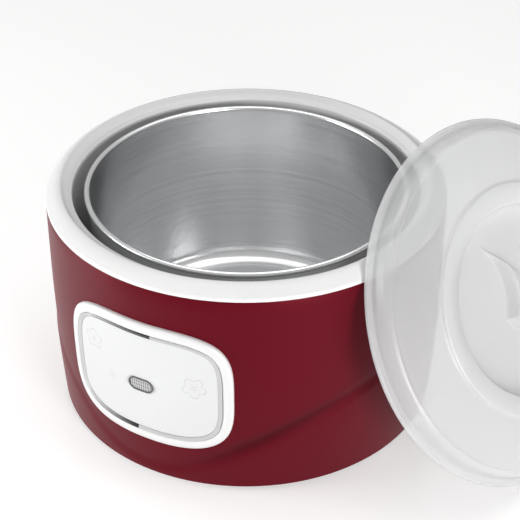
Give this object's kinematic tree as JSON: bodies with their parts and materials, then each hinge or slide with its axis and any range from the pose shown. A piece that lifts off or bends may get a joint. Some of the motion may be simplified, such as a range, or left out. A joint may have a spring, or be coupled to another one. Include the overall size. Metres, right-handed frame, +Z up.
{
  "type": "yogurt maker",
  "caption": "Round electric yogurt maker: tapered dark red body, white rim ring, steel inner pot, lamp panel, and a see-through lid leaning beside it.",
  "frame": {"origin": "centre of the bounding box, at the height of the feet's underside, where the object stands", "axes": "+Z up along the body's own axis; +X to the right and +Y away from someone who faces the front; the panel faces between -X and -Y, and the lid leans on the body at +X and -Y"},
  "size_m": [0.2804, 0.2073, 0.1473],
  "materials": {
    "maroon_shell": "dark red moulded plastic with a satin gloss",
    "white_plastic": "white moulded plastic, glossy",
    "inner_white": "white heat-resisting plastic, satin",
    "base_white": "white plastic, fine matt grain",
    "black_rubber": "soft black rubber",
    "screw_steel": "zinc-plated steel",
    "pot_steel": "polished stainless steel",
    "clear_lid": "frosted clear plastic, glossy",
    "panel_frame": "white moulded plastic, glossy",
    "bright_trim": "bright metallised band",
    "panel_face": "pale matt foil",
    "lamp_window": "dark red clear plastic",
    "board_green": "green circuit board lacquer",
    "lamp_red": "clear red resin",
    "heat_alloy": "rolled aluminium, satin",
    "heater_white": "white ceramic",
    "mica_amber": "flaky amber mica",
    "clamp_steel": "plain steel strip",
    "fuse_body": "lacquered metal can",
    "wire_red": "red silicone sleeve",
    "wire_black": "black silicone sleeve",
    "inlet_black": "black moulded plastic",
    "pin_brass": "bare brass"
  },
  "bodies": {
    "housing": {"outer_shell": "maroon_shell", "top_ring": "white_plastic", "chamber_liner": "inner_white", "base_plate": "base_white", "rubber_feet": "black_rubber", "base_screws": "screw_steel", "panel_bezel": "panel_frame", "panel_trim": "bright_trim", "panel_plate": "panel_face", "pill_frame": "bright_trim", "lamp_lens": "lamp_window", "led_board": "board_green", "led_lamp": "lamp_red", "board_screws": "screw_steel", "heat_plate": "heat_alloy", "heater_block": "heater_white", "mica_sheet": "mica_amber", "heater_clamp": "clamp_steel", "clamp_screws": "screw_steel", "thermal_fuse": "fuse_body", "fuse_clip": "clamp_steel", "lead_wires": "wire_red", "lamp_wires": "wire_black", "inlet_housing": "inlet_black", "inlet_pins": "pin_brass"},
    "pot": {"inner_pot": "pot_steel"},
    "lid": {"lid": "clear_lid"}
  },
  "joints": [
    {"name": "pot_lift", "type": "slide", "parent": "housing", "child": "pot", "axis": [0, 0, 1], "range_m": [0, 0.13]},
    {"name": "lid_lift", "type": "slide", "parent": "housing", "child": "lid", "axis": [0, 0, 1], "range_m": [0, 0.18]}
  ]
}
